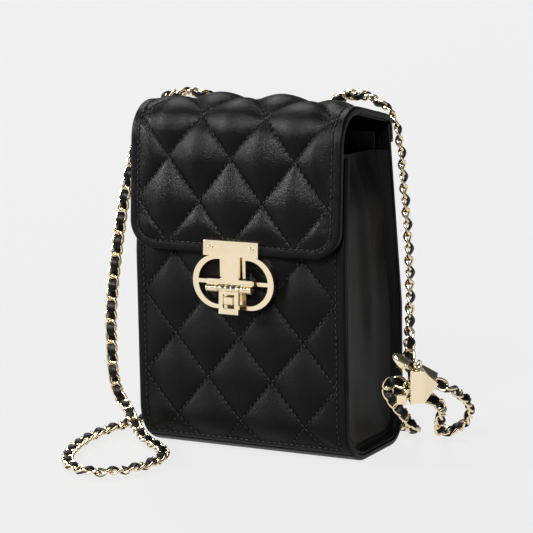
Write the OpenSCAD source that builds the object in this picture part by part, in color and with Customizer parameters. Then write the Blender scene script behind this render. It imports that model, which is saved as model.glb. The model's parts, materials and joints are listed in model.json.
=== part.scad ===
// Small quilted crossbody purse with a flap, a hasp clasp on an oval ring and a woven chain strap.
// Millimetres. X runs left to right seen from the front, the front faces -Y, Z is up.
// The origin is on the floor under the middle of the bag.

/* [Bag body] */
// Width across the front and back panels
bag_width = 115; // [90:1:160]
// Depth of the body where it is widest
bag_depth = 66; // [45:1:90]
// Height of the back panel's top edge
back_height = 162; // [130:1:200]
// Height of the front panel's top edge, under the flap
front_height = 150; // [120:1:190]
// Height where the front wall starts to lean in
front_bend = 100; // [60:1:130]
// Height where the back wall starts to lean in
back_bend = 70; // [40:1:120]
// How far the front wall leans in at the top
front_lean = 6; // [0:0.5:15]
// How far the back wall leans in at the top
back_lean = 13; // [0:0.5:20]
// Radius of the lower front edge
front_radius = 22; // [10:1:30]
// Radius of the lower back edge
back_radius = 14; // [8:1:30]
// Thickness of the padded outer panels
panel = 2.6; // [1.5:0.1:5]
// Thickness of the side gussets
gusset = 1.8; // [1:0.1:3]
// How far the gussets sit in from the panel edges
gusset_inset = 3; // [1:0.5:8]
// Thickness of the lining
lining = 0.8; // [0.5:0.1:1.5]

/* [Flap] */
// Radius of the bend over the top front
bend_radius = 18; // [10:0.5:30]
// Height of the middle of that bend
bend_height = 155.5; // [140:0.5:180]
// Distance of the middle of that bend in front of the origin
bend_forward = 17; // [5:0.5:25]
// Slope of the top of the flap
top_slope = 12; // [0:1:25]
// Slope of the front of the flap
front_slope = 4; // [0:0.5:12]
// Length of the top from the bend to the hinge line
flap_top = 33; // [20:1:50]
// Length of the front from the bend to its lower edge
flap_drop = 54.5; // [30:0.5:90]
// Thickness of the padded outer layer
flap_pad = 2.2; // [1:0.1:5]
// Radius of the lower corners
flap_corner = 14; // [5:1:30]

/* [Clasp] */
// Length of the oval ring
ring_length = 44.4; // [30:0.2:60]
// Height of the oval ring
ring_height = 26.4; // [18:0.2:40]
// Height of the ring's middle above the floor
ring_centre = 88.4; // [60:0.2:120]
// Thickness of the ring, front to back
ring_thick = 2.6; // [1.5:0.1:4]
// Distance of the ring's front face in front of the body
ring_stand = 5.2; // [3:0.1:8]
// Width of the plate on the flap
plate_width = 30; // [20:1:40]
// Height of the plate on the flap
plate_height = 7.4; // [5:0.2:12]
// Thickness of the plate and the tongue
metal = 1.6; // [1:0.1:3]
// Radius of the pin the tongue swings on
pin_radius = 0.75; // [0.5:0.05:1.5]
// Distance of that pin below the flap's edge
pin_drop = 16.6; // [12:0.2:24]
// Width of the tongue
tongue_width = 10.8; // [8:0.2:16]
// Length of the tongue below its pin
tongue_length = 12.4; // [9:0.2:20]

/* [Strap] */
// Thickness of the strap
strap_size = 6.4; // [4:0.2:9]
// Distance of each lug from the middle of the back
lug_x = 16; // [10:1:40]
// Height of the bar each D-ring swings on
lug_height = 140; // [100:1:150]
// Radius of the D-ring wire
wire = 1; // [0.8:0.1:1.5]
// Inner half width of the D-ring
ring_half = 6.5; // [5:0.5:10]
// Place of the slider
slider_at = [78, 8, 36];
// Turn of the slider about the vertical
slider_turn = 30; // [0:1:60]
// Tilt of the slider towards the floor
slider_tilt = 30; // [0:1:60]

/* [Hidden] */
$fn = 48;
gap = 0.3;
half = bag_width / 2;
front_y = -bag_depth / 2;
back_y = bag_depth / 2;
lining_inset = panel + 1.4;
lining_edge = half - gusset_inset - gusset - 1.2;
bend_at = [-bend_forward, bend_height];
flap_thick = flap_pad + 0.9 + lining;
hinge_at = bend_at + turn2([flap_top, bend_radius - flap_thick / 2], -top_slope);
flap_edge = bend_at + turn2([-flap_drop, bend_radius], 90 - front_slope);
ring_front = front_y - ring_stand;
pin_out = 1.9;
back_angle = atan(back_lean / (back_height - back_bend));
lug_y = back_wall(lug_height) + 2.8;
link_y = lug_y + 1.4;
link_radius = 3.6;
bow_height = lug_height + 11;
sleeve_pitch = 4.4;
sides = 10;
seam_height = 5;
pocket_low = 58;
pocket_high = 122;

function turn2(p, a) = [p[0] * cos(a) - p[1] * sin(a), p[0] * sin(a) + p[1] * cos(a)];
function back_wall(z) = back_y - back_lean * (z - back_bend) / (back_height - back_bend);
function front_wall(z) = front_y + front_lean * (z - front_bend) / (back_height - front_bend);
function unit(v) = v / norm(v);

// A point beside the slider: x along its bores, z across them.
function slider_point(x, z) = slider_at + [
    (x * cos(slider_tilt) + z * sin(slider_tilt)) * cos(slider_turn),
    (x * cos(slider_tilt) + z * sin(slider_tilt)) * sin(slider_turn),
    z * cos(slider_tilt) - x * sin(slider_tilt)];

// The strap's middle line, from the left end link over the side, round the floor and behind the bag.
left_run = [
    [-16, 27.5, 161], [-20, 29.5, 164.5], [-30, 31, 166], [-42, 31, 168.5], [-54, 29, 172],
    [-62, 24, 172.5], [-66.5, 15, 171], [-70, 5, 164], [-74, 0, 151], [-79, -3.4, 130],
    [-84, -4.2, 105], [-89, -3.5, 78], [-92, -2, 58], [-94, 1, 40], [-95, 4, 25], [-93.5, 6, 15],
    [-88, 2.5, 11], [-80, -7, 10.5], [-70, -17.5, 6.5], [-57, -30, 3.6]];
floor_run = [
    [-43, -41.5, 3.5], [-32, -54, 3.5], [-29, -70, 3.5], [-32.5, -85, 3.5], [-43, -96, 3.5],
    [-58, -94, 3.5], [-70, -82, 3.5], [-78, -65, 3.5], [-83, -46, 3.5], [-84.5, -27, 3.5],
    [-82, -8, 3.5], [-78, 11, 3.5], [-71, 30, 3.5], [-58, 44, 3.5], [-43, 52, 3.5], [-36, 66, 3.5],
    [-32, 84, 3.5], [-22, 100, 3.5], [-6, 105, 3.5], [8, 96, 3.5], [13, 78, 3.5], [22, 62, 3.5],
    [38, 53, 3.5], [54, 44, 3.5]];
slider_run = [
    [63, 34, 5.5], [66.5, 24, 10], [66, 15, 17.5], [63.5, 7, 26], [62.5, 2.6, 32.5], [65, 1.6, 36.6],
    [68.5, 2.6, 37.1], slider_point(-5.6, -sleeve_pitch), slider_point(5.6, -sleeve_pitch),
    slider_point(11.5, -sleeve_pitch), [86.5, 14.5, 23], [83.5, 20, 17], [79.5, 28, 10.5],
    [76.5, 37, 5], [78, 43.5, 4], [83.5, 46, 7], [89, 42.5, 13.5], [92.5, 34.5, 21.5],
    [92, 23, 29], slider_point(11.5, sleeve_pitch), slider_point(5.6, sleeve_pitch),
    slider_point(-5.6, sleeve_pitch), slider_point(-7.5, sleeve_pitch)];
right_run = [
    [72, 8.5, 47.8], [69.6, 14, 53.5], [67, 20, 61.5], [65.2, 25, 75], [63.6, 27.8, 94],
    [61.6, 29.6, 114], [59.8, 30, 131], [59, 29.8, 145], [57, 29.5, 157], [52.5, 30.5, 166],
    [43, 31.2, 172], [32, 31.2, 173.6], [23, 30.5, 170.5], [17.5, 28.8, 165], [16, 27.5, 161]];
route = concat(left_run, floor_run, slider_run, right_run);
stops = len(route);

function heading(i) = unit(route[min(i + 1, stops - 1)] - route[max(i - 1, 0)]);
function across(v, t) = unit(v - (v * t) * t);
function carried(i, v) = i == stops ? [] :
    let (w = across(v, heading(i))) concat([w], carried(i + 1, w));

leather_colour = [0.12, 0.12, 0.13];
lining_colour = [0.25, 0.22, 0.2];
gold_colour = [0.86, 0.76, 0.55];

// The side view of the body, taken in by an inset all round and cut off at a height.
module side_shape(inset, top) {
    translate([front_y + front_radius, front_radius]) circle(front_radius - inset);
    translate([back_y - back_radius, back_radius]) circle(back_radius - inset);
    polygon([
        [front_y + front_radius, inset], [back_y - back_radius, inset],
        [back_y - inset, back_radius], [back_y - inset, back_bend],
        [back_wall(top) - inset, top], [front_wall(top) + inset, top],
        [front_y + inset, front_bend], [front_y + inset, front_radius]]);
}

// Runs a side view across the bag between two places on X.
module across_bag(from, to) {
    translate([from, 0, 0]) rotate([90, 0, 90]) linear_extrude(to - from) children();
}

// A layer of the body wall between two insets.
module wall_layer(outer, inner, top) {
    difference() {
        side_shape(outer, top);
        side_shape(inner, top + 1);
    }
}

// Keeps the part of a side view in front of or behind the middle, and above or below the base seam.
module kept(y1, z1, y2, z2) {
    intersection() {
        children();
        translate([y1, z1]) square([y2 - y1, z2 - z1]);
    }
}

module base_panel() color(leather_colour)
    across_bag(-half, half) kept(front_y, -1, back_y, seam_height) wall_layer(0, panel, front_height);

module base_board() color(lining_colour)
    translate([-46, front_y + front_radius + 1, panel + lining + 1.6])
        cube([92, bag_depth - front_radius - back_radius - 2, 1.6]);

module front_panel() color(leather_colour)
    difference() {
        across_bag(-half, half)
            kept(front_y, seam_height + gap, -8, front_height) wall_layer(0, panel, front_height);
        at_posts() cylinder(h = 12, r = 1.5);
    }

module back_panel() color(leather_colour)
    difference() {
        across_bag(-half, half)
            kept(8, seam_height + gap, back_y + 1, back_height) wall_layer(0, panel, back_height);
        for (side = [-1, 1]) on_back_wall(side * lug_x)
            translate([0, -6, -12]) rotate([-90, 0, 0]) cylinder(h = 12, r = 1.1);
    }

module gusset_plate(from) color(leather_colour)
    across_bag(from, from + gusset) side_shape(panel + gap, front_height - 1);

module gusset_left() gusset_plate(-half + gusset_inset);

module gusset_right() gusset_plate(half - gusset_inset - gusset);

module lining_front() color(lining_colour)
    across_bag(-lining_edge, lining_edge)
        kept(front_y, seam_height + gap, -8, 150) wall_layer(lining_inset, lining_inset + lining, 146);

module lining_back() color(lining_colour)
    across_bag(-lining_edge, lining_edge)
        kept(8, seam_height + gap, back_y, 160) wall_layer(lining_inset, lining_inset + lining, 158);

module lining_base() color(lining_colour)
    across_bag(-lining_edge, lining_edge)
        kept(front_y, -1, back_y, seam_height)
            wall_layer(lining_inset - 1, lining_inset + lining - 1, front_height);

module lining_side(from) color(lining_colour)
    across_bag(from, from + lining) side_shape(lining_inset, 146);

module lining_left() lining_side(-lining_edge - lining - 0.2);

module lining_right() lining_side(lining_edge + 0.2);

// A flat card pocket on the back lining: a front sheet on a raised edge along three sides.
module card_pocket() color(lining_colour) {
    front = lining_inset + lining + 2.4;
    across_bag(-44, 44)
        kept(8, pocket_low, back_y, pocket_high) wall_layer(front, front + lining, pocket_high);
    across_bag(-44, 44)
        kept(8, pocket_low, back_y, pocket_low + 1.2)
            wall_layer(lining_inset + lining + 0.1, front + 0.2, pocket_high);
    for (x = [-44, 42.8]) across_bag(x, x + 1.2)
        kept(8, pocket_low, back_y, pocket_high)
            wall_layer(lining_inset + lining + 0.1, front + 0.2, pocket_high);
}

// An oval with round ends, seen from the front.
module oval(length, height) {
    for (side = [-1, 1]) translate([side * (length - height) / 2, 0]) circle(height / 2);
    square([length - height, height], center = true);
}

// Stands a front view up at a place on Y, with its thickness running backwards.
module standing(y, thick) {
    translate([0, y + thick, 0]) rotate([90, 0, 0]) linear_extrude(thick) children();
}

module clasp_ring() color(gold_colour)
    standing(ring_front, ring_thick) translate([0, ring_centre]) {
        difference() {
            oval(ring_length, ring_height);
            oval(ring_length - 6.2, ring_height - 4);
        }
        for (side = [-1, 1]) {
            translate([side * 6.1 - 0.9, -ring_height / 2 + 0.6]) square([1.8, ring_height - 1.2]);
            translate([side * 13.4 - 6.7, -1]) square([13.4, 2]);
        }
    }

// The four places where the ring is pinned to the front panel, pointing backwards from the ring.
module at_posts() {
    for (x = [-1, 1], z = [-1, 1])
        translate([x * 19.6, ring_front + ring_thick, ring_centre + z * 5.2])
            rotate([-90, 0, 0]) children();
}

module ring_posts() color(gold_colour)
    at_posts() cylinder(h = ring_stand - ring_thick + panel + 1, r = 1.4);

module ring_backing() color(gold_colour)
    difference() {
        translate([-23, front_y + panel + 0.1, ring_centre - 8.5]) cube([46, 1, 17]);
        at_posts() cylinder(h = 12, r = 1.43);
    }

module catch_block() color(gold_colour) {
    translate([-5.1, ring_front + 0.1, ring_centre - 11.1]) cube([10.2, 2, 6.6]);
    translate([-2.4, ring_front - 5.2, ring_centre - 10]) cube([4.8, 5.4, 3.8]);
}

// Places a piece on the back wall at a lug, y outwards and z up along the wall.
module on_back_wall(x) {
    translate([x, back_wall(lug_height), lug_height]) rotate([back_angle, 0, 0]) children();
}

module lug(x) color(leather_colour)
    difference() {
        across_bag(x - 4.5, x + 4.5) difference() {
            union() {
                translate([back_wall(lug_height), lug_height]) rotate(back_angle)
                    translate([0.1, -18]) square([2.2, 18.4]);
                translate([lug_y, lug_height]) circle(2.5);
            }
            translate([lug_y, lug_height]) circle(wire + 0.08);
        }
        on_back_wall(x) translate([0, -6, -12]) rotate([-90, 0, 0]) cylinder(h = 12, r = 1.1);
    }

module lug_left() lug(-lug_x);

module lug_right() lug(lug_x);

module lug_rivets() color(gold_colour)
    for (side = [-1, 1]) on_back_wall(side * lug_x) translate([0, 0, -12]) rotate([-90, 0, 0]) {
        translate([0, 0, 2.35]) cylinder(h = 0.8, r = 2.3);
        translate([0, 0, -3.2]) cylinder(h = 6, r = 1);
        translate([0, 0, -3.5]) cylinder(h = 0.8, r = 2.3);
    }

module d_ring(x) color(gold_colour) translate([x, lug_y, lug_height]) {
    rotate([0, 90, 0]) cylinder(h = 2 * ring_half, r = wire, center = true);
    for (side = [-1, 1]) translate([side * ring_half, 0, 0]) {
        cylinder(h = 4.5, r = wire);
        sphere(wire);
    }
    translate([0, 0, 4.5]) rotate([90, 0, 0]) rotate_extrude(angle = 180)
        translate([ring_half, 0]) circle(wire);
}

module d_ring_left() d_ring(-lug_x);

module d_ring_right() d_ring(lug_x);

// A long round-wire link standing across the D-ring's bow.
module end_link(x) color(gold_colour)
    translate([x, link_y, bow_height - 0.6]) rotate([90, 0, 90]) {
        for (side = [-1, 1]) translate([side * link_radius, 0, 0]) rotate([-90, 0, 0])
            cylinder(h = 5, r = 0.9);
        rotate([0, 0, 180]) rotate_extrude(angle = 180) translate([link_radius, 0]) circle(0.9);
        translate([0, 5, 0]) rotate_extrude(angle = 180) translate([link_radius, 0]) circle(0.9);
    }

module end_link_left() end_link(-lug_x);

module end_link_right() end_link(lug_x);

// One tube along the route, its ring of corners carried without twist from stop to stop.
module strap() color(leather_colour) {
    starts = carried(0, [0, 1, 0]);
    rim = [for (i = [0:stops - 1], k = [0:sides - 1])
        let (t = heading(i), u = starts[i], a = 360 * k / sides)
        route[i] + strap_size / 2 * (cos(a) * u + sin(a) * cross(t, u))];
    skin = [for (i = [0:stops - 2], k = [0:sides - 1])
        let (a = i * sides + k, b = i * sides + (k + 1) % sides)
        each [[a, a + sides, b], [b, a + sides, b + sides]]];
    caps = [
        [for (k = [0:sides - 1]) k],
        [for (k = [0:sides - 1]) stops * sides - 1 - k]];
    polyhedron(points = rim, faces = concat(skin, caps));
}

// The side view of everything under a surface of the flap: front, bend and top.
module flap_side(r, extra) {
    circle(r);
    rotate(90 - front_slope) translate([-flap_drop - 2 - extra, 0])
        square([flap_drop + 2 + extra, r - 0.01]);
    rotate(-top_slope) square([flap_top + extra, r - 0.01]);
}

// A layer of the flap between two distances from the middle of its bend.
module flap_layer(outer, thick) {
    translate(bend_at) difference() {
        flap_side(outer, 0);
        flap_side(outer - thick, 1);
        polygon([turn2([0, 1], 45), turn2([-90, 1], 90 - front_slope), [60, -90],
            turn2([90, 1], -top_slope)]);
    }
}

// The flap seen from the front, with its lower corners rounded.
module flap_outline(width) {
    low = flap_edge[1];
    translate([-width / 2, low + flap_corner]) square([width, 100]);
    translate([-width / 2 + flap_corner, low]) square([width - 2 * flap_corner, 60]);
    for (side = [-1, 1]) translate([side * (width / 2 - flap_corner), low + flap_corner])
        circle(flap_corner);
}

module flap_sheet(outer, thick, width) {
    intersection() {
        across_bag(-width / 2, width / 2) flap_layer(outer, thick);
        standing(-60, 120) flap_outline(width);
    }
}

// Places a piece on the flap's front, at its lower edge: y outwards is negative, z up the flap.
module on_flap() {
    translate([0, flap_edge[0], flap_edge[1]]) rotate([-front_slope, 0, 0]) children();
}

module screw_holes(r) {
    for (x = [-1, 1]) on_flap() translate([x * 11.3, -4, plate_height / 2 - 1])
        rotate([-90, 0, 0]) cylinder(h = 12, r = r);
}

module flap_outer() color(leather_colour)
    difference() {
        flap_sheet(bend_radius, flap_pad, bag_width);
        screw_holes(0.95);
    }

module flap_lining() color(leather_colour)
    flap_sheet(bend_radius - flap_pad - 0.9, lining, bag_width - 2);

module clasp_plate() color(gold_colour)
    difference() {
        on_flap() {
            translate([-plate_width / 2, -metal, -1]) cube([plate_width, metal, plate_height]);
            translate([-4.7, -metal, -14.4]) cube([9.4, metal, 14]);
            translate([-12.3, -metal, -14.6]) cube([24.6, metal, 2.4]);
            for (side = [-1, 1]) translate([side * 9.15 - 3.15, 0, 0]) {
                translate([0, -metal - 0.4, -pin_drop]) cube([6.3, metal, pin_drop - 14.2]);
                translate([0, -pin_out, -pin_drop]) rotate([0, 90, 0]) cylinder(h = 6.3, r = 1.6);
            }
        }
        on_flap() translate([-14, -pin_out, -pin_drop]) rotate([0, 90, 0])
            cylinder(h = 28, r = pin_radius + 0.02);
        screw_holes(0.95);
    }

module plate_screws() color(gold_colour)
    for (x = [-1, 1]) on_flap() translate([x * 11.3, 0, plate_height / 2 - 1])
        rotate([-90, 0, 0]) difference() {
            union() {
                translate([0, 0, -metal - 0.5]) cylinder(h = 0.5, r = 1.5);
                translate([0, 0, -metal]) cylinder(h = metal + flap_pad + 0.7, r = 0.85);
            }
            translate([-0.25, -2, -metal - 0.6]) cube([0.5, 4, 0.4]);
        }

module plate_backing() color(gold_colour)
    difference() {
        on_flap() translate([-15, flap_pad + 0.1, 0.2]) cube([30, 0.7, 6]);
        screw_holes(0.87);
    }

module clasp_pin() color(gold_colour)
    on_flap() translate([-12.3, -pin_out, -pin_drop]) rotate([0, 90, 0])
        cylinder(h = 24.6, r = pin_radius);

// The swinging tongue: a knuckle on the pin and a frame whose window drops over the catch.
module clasp_tongue() color(gold_colour)
    on_flap() translate([0, -pin_out, -pin_drop]) difference() {
        union() {
            rotate([0, 90, 0]) cylinder(h = 11.2, r = 1.6, center = true);
            translate([-tongue_width / 2, -metal / 2, -tongue_length])
                cube([tongue_width, metal, tongue_length]);
        }
        rotate([0, 90, 0]) cylinder(h = 20, r = pin_radius + 0.07, center = true);
        translate([-3.1, -2, -9.6]) cube([6.2, 4, 6.8]);
    }

// The slider's frame: x along its bores, z across them.
module at_slider() {
    translate(slider_at) rotate([0, 0, slider_turn]) rotate([0, slider_tilt, 0]) children();
}

// The upright frame of the faceted bead in front of the slider.
module at_bead() {
    translate(slider_at) rotate([0, 0, slider_turn]) translate([0, -12.2, 2]) children();
}

module slider_sleeves() color(gold_colour)
    at_slider() rotate([0, 90, 0]) linear_extrude(10, center = true) difference() {
        union() {
            for (side = [-1, 1]) translate([side * sleeve_pitch, 0]) circle(4.3);
            translate([-sleeve_pitch, -4.3]) square([2 * sleeve_pitch, 4.3]);
        }
        for (side = [-1, 1]) translate([side * sleeve_pitch, 0]) circle(strap_size / 2 + 0.3);
    }

module slider_bead() color(gold_colour) at_bead() {
    translate([-6.6, -6.8, -8.4]) cube([1.4, 13.6, 16.8]);
    translate([-5.2, -6.3, -7.9]) cube([5.4, 12.6, 15.8]);
    polyhedron(
        points = [[0, -6.3, -7.9], [0, 6.3, -7.9], [0, 6.3, 7.9], [0, -6.3, 7.9], [7.6, 0, 0]],
        faces = [[0, 1, 2, 3], [1, 0, 4], [2, 1, 4], [3, 2, 4], [0, 3, 4]]);
    translate([-1.5, 6.3, -2]) rotate([-90, 0, 0]) cylinder(h = 1.5, r = 2.4);
}

module slider_bell() color(gold_colour) at_bead() {
    translate([-6.7, 0, 8.2]) rotate([0, -50, 0]) {
        cylinder(h = 3, r = 0.9);
        translate([0, 0, 2]) cylinder(h = 1.2, r = 3.8);
        translate([0, 0, 3.1]) rotate_extrude()
            polygon([[0, 0], [3.3, 0], [3.3, 2], [3, 4], [2.3, 6], [1.2, 7.6], [0, 8.2]]);
    }
}

module slider_cube() color(gold_colour) at_bead()
    translate([-6.7, 0, -6.6]) {
        rotate([0, -90, 0]) cylinder(h = 1.6, r = 0.9);
        translate([-6.3, -2.5, -2.5]) cube([5, 5, 5]);
    }

module slider_loop() color(gold_colour) at_bead()
    translate([-2.4, 0, 10.3]) rotate([90, 0, 0]) rotate_extrude() translate([1.6, 0]) circle(0.6);

base_panel();
base_board();
front_panel();
back_panel();
gusset_left();
gusset_right();
lining_front();
lining_back();
lining_base();
lining_left();
lining_right();
card_pocket();
clasp_ring();
ring_posts();
ring_backing();
catch_block();
lug_left();
lug_right();
lug_rivets();
end_link_left();
end_link_right();
strap();
flap_outer();
flap_lining();
clasp_plate();
plate_screws();
plate_backing();
clasp_pin();
clasp_tongue();
d_ring_left();
d_ring_right();
slider_sleeves();
slider_bead();
slider_bell();
slider_cube();
slider_loop();
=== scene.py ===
import bpy
import bmesh
import json
import math
from mathutils import Matrix, Vector, noise


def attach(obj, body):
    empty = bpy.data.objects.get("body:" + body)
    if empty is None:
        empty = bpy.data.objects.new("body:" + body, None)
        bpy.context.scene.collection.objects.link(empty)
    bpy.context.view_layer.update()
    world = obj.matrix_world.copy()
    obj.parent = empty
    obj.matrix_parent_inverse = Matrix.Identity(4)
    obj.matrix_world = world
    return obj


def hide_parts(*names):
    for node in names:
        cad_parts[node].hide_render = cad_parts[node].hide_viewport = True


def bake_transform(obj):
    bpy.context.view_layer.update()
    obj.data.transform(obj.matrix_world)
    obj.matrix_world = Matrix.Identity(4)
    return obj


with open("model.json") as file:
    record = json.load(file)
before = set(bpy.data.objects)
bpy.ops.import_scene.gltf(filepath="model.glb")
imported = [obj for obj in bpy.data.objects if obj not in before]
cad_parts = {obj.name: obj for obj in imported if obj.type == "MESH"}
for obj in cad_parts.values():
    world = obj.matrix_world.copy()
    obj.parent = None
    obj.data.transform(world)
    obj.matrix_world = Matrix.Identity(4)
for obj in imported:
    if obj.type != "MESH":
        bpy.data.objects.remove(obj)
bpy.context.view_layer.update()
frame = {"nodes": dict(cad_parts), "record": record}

mm = 0.001

def placed(name, data):
    thing = bpy.data.objects.new(name, data)
    bpy.context.scene.collection.objects.link(thing)
    return thing

def meshOf(bm, name):
    mesh = bpy.data.meshes.new(name)
    bm.to_mesh(mesh)
    bm.free()
    return mesh

# camera and light

cameraView = {
    "place": (0.5532, -1.0436, 0.2971),
    "lookAt": (-0.00176, 0.0, 0.08998),
    "roll": math.radians(-1),
    "lens": 162.9,
}

def addCamera(view):
    data = bpy.data.cameras.new("camera")
    data.lens = view["lens"]
    data.sensor_width = 36
    data.clip_start, data.clip_end = 0.05, 60
    camera = placed("camera", data)
    place, lookAt = Vector(view["place"]), Vector(view["lookAt"])
    back = (place - lookAt).normalized()
    right = Vector((0, 0, 1)).cross(back).normalized()
    up = back.cross(right)
    turned = right * math.cos(view["roll"]) + up * math.sin(view["roll"])
    risen = up * math.cos(view["roll"]) - right * math.sin(view["roll"])
    camera.matrix_world = Matrix((turned, risen, back)).transposed().to_4x4()
    camera.location = place
    bpy.context.scene.camera = camera

addCamera(cameraView)

studio = {
    "skyLow": (0.3, 0.302, 0.31),
    "skyHigh": (0.06, 0.06, 0.062),
    "suns": [
        # shines from, strength, width of the source in degrees
        ((0.12, -0.8, 0.58), 6.0, 17),
        ((-0.8, -0.45, 0.4), 5.0, 19),
        ((-0.45, 0.4, 0.85), 2.0, 30),
    ],
    "floor": (0.02, 0.02, 0.0202),
    "floorGlow": 0.785,
}

def addStudio(room):
    world = bpy.data.worlds.new("studioSky")
    world.use_nodes = True
    tree = world.node_tree
    # pale near the floor's edge and darker overhead
    coords = tree.nodes.new("ShaderNodeTexCoord")
    parts = tree.nodes.new("ShaderNodeSeparateXYZ")
    fade = tree.nodes.new("ShaderNodeValToRGB")
    for stop, place, colour in zip(fade.color_ramp.elements, (0.12, 0.45), ("skyLow", "skyHigh")):
        stop.position = place
        stop.color = (*room[colour], 1)
    tree.links.new(coords.outputs["Generated"], parts.inputs[0])
    tree.links.new(parts.outputs["Z"], fade.inputs["Fac"])
    tree.links.new(fade.outputs["Color"], tree.nodes["Background"].inputs["Color"])
    bpy.context.scene.world = world
    for i, (source, strength, wide) in enumerate(room["suns"]):
        data = bpy.data.lights.new(f"softbox{i}", "SUN")
        data.energy = strength
        data.angle = math.radians(wide)
        lamp = placed(f"softbox{i}", data)
        lamp.location = source
        lamp.rotation_euler = Vector(source).to_track_quat("Z", "Y").to_euler()

addStudio(studio)
bpy.context.scene.view_settings.view_transform = "Standard"
print("camera and light ready")

# shader helpers

def link(tree, source, target):
    tree.links.new(source, target)

def addNode(tree, kind, **values):
    node = tree.nodes.new(kind)
    for key, value in values.items():
        if key in node.inputs:
            node.inputs[key].default_value = value
        else:
            setattr(node, key, value)
    return node

def newGroup(name, values, outputs):
    # takes a Vector and the numbers in values, and puts out what outputs names
    group = bpy.data.node_groups.new(name, "ShaderNodeTree")
    group.interface.new_socket(name="Vector", in_out="INPUT", socket_type="NodeSocketVector")
    for label, value in values.items():
        socket = group.interface.new_socket(name=label, in_out="INPUT", socket_type="NodeSocketFloat")
        socket.default_value = value
    for label in outputs:
        group.interface.new_socket(name=label, in_out="OUTPUT", socket_type="NodeSocketFloat")
    return group, group.nodes.new("NodeGroupInput"), group.nodes.new("NodeGroupOutput")

def math2(tree, kind, a, b=None, clamp=False):
    node = tree.nodes.new("ShaderNodeMath")
    node.operation = kind
    node.use_clamp = clamp
    for i, value in enumerate((a, b)):
        if value is None:
            continue
        if isinstance(value, (int, float)):
            node.inputs[i].default_value = value
        else:
            tree.links.new(value, node.inputs[i])
    return node.outputs[0]

def times(tree, a, b):
    return math2(tree, "MULTIPLY", a, b)

def plus(tree, a, b, clamp=False):
    return math2(tree, "ADD", a, b, clamp)

def minus(tree, a, b):
    return math2(tree, "SUBTRACT", a, b)

def bumped(tree, height, strength, distance, target):
    # a bump from a height, put into a Normal socket
    node = addNode(tree, "ShaderNodeBump", Strength=strength, Distance=distance)
    link(tree, height, node.inputs["Height"])
    link(tree, node.outputs[0], target)
    return node

def ramp(tree, value, low, high):
    node = tree.nodes.new("ShaderNodeMapRange")
    node.inputs["From Min"].default_value = low
    node.inputs["From Max"].default_value = high
    tree.links.new(value, node.inputs["Value"])
    return node.outputs["Result"]

def noiseOn(tree, vector, scale, detail, roughness=0.5, output=0):
    # a noise texture on a vector; its scale is a number or a socket
    node = addNode(tree, "ShaderNodeTexNoise", Detail=detail, Roughness=roughness)
    link(tree, vector, node.inputs["Vector"])
    if isinstance(scale, float):
        node.inputs["Scale"].default_value = scale
    else:
        link(tree, scale, node.inputs["Scale"])
    return node.outputs[output]

def makeGrain():
    # pebbled leather: Height for a bump, Pores as a mask, Cloud for slow colour change
    group, enter, leave = newGroup("leatherGrain", {"Scale": 1500.0}, ("Height", "Pores", "Cloud"))
    vector = enter.outputs["Vector"]
    shifted = addNode(group, "ShaderNodeVectorMath", operation="SCALE")
    link(group, noiseOn(group, vector, 600.0, 2.0, output="Color"), shifted.inputs[0])
    shifted.inputs["Scale"].default_value = 0.0012
    moved = addNode(group, "ShaderNodeVectorMath", operation="ADD")
    link(group, vector, moved.inputs[0])
    link(group, shifted.outputs[0], moved.inputs[1])
    cells = addNode(group, "ShaderNodeTexVoronoi", feature="DISTANCE_TO_EDGE")
    link(group, moved.outputs[0], cells.inputs["Vector"])
    link(group, enter.outputs["Scale"], cells.inputs["Scale"])
    domes = ramp(group, cells.outputs["Distance"], 0.0, 0.22)
    fine = noiseOn(group, vector, times(group, enter.outputs["Scale"], 2.3), 4.0, 0.6)
    height = plus(group, times(group, domes, 0.75), times(group, fine, 0.35))
    link(group, height, leave.inputs["Height"])
    link(group, ramp(group, cells.outputs["Distance"], 0.09, 0.0), leave.inputs["Pores"])
    link(group, noiseOn(group, vector, 55.0, 3.0, 0.55), leave.inputs["Cloud"])
    return group

def makeWeave():
    # plain weave on Object coordinates: two crossed sets of threads
    group, enter, leave = newGroup("clothWeave", {"Threads": 1800.0}, ("Height", "Thread"))
    parts = addNode(group, "ShaderNodeSeparateXYZ")
    link(group, enter.outputs["Vector"], parts.inputs[0])
    across = times(group, plus(group, parts.outputs["X"], parts.outputs["Y"]), enter.outputs["Threads"])
    along = times(group, parts.outputs["Z"], enter.outputs["Threads"])
    warp, weft = [math2(group, "ABSOLUTE", math2(group, "SINE", times(group, way, math.pi)))
                  for way in (across, along)]
    over = math2(group, "PINGPONG", plus(group, math2(group, "FLOOR", across),
                 math2(group, "FLOOR", along)), 1.0)
    height = plus(group, times(group, warp, over), times(group, weft, minus(group, 1.0, over)))
    link(group, height, leave.inputs["Height"])
    link(group, noiseOn(group, enter.outputs["Vector"], 700.0, 2.0), leave.inputs["Thread"])
    return group

def makePolish():
    # fine brushing and faint handling marks on plated metal
    group, enter, leave = newGroup("platePolish", {"Scale": 900.0}, ("Height", "Marks", "Tone"))
    stretched = addNode(group, "ShaderNodeMapping")
    stretched.inputs["Scale"].default_value = (1, 1, 7)
    link(group, enter.outputs["Vector"], stretched.inputs["Vector"])
    link(group, noiseOn(group, stretched.outputs[0], enter.outputs["Scale"], 3.0), leave.inputs["Height"])
    marks = noiseOn(group, enter.outputs["Vector"], 160.0, 5.0, 0.7)
    link(group, ramp(group, marks, 0.45, 0.75), leave.inputs["Marks"])
    link(group, noiseOn(group, enter.outputs["Vector"], 35.0, 2.0), leave.inputs["Tone"])
    return group

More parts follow.
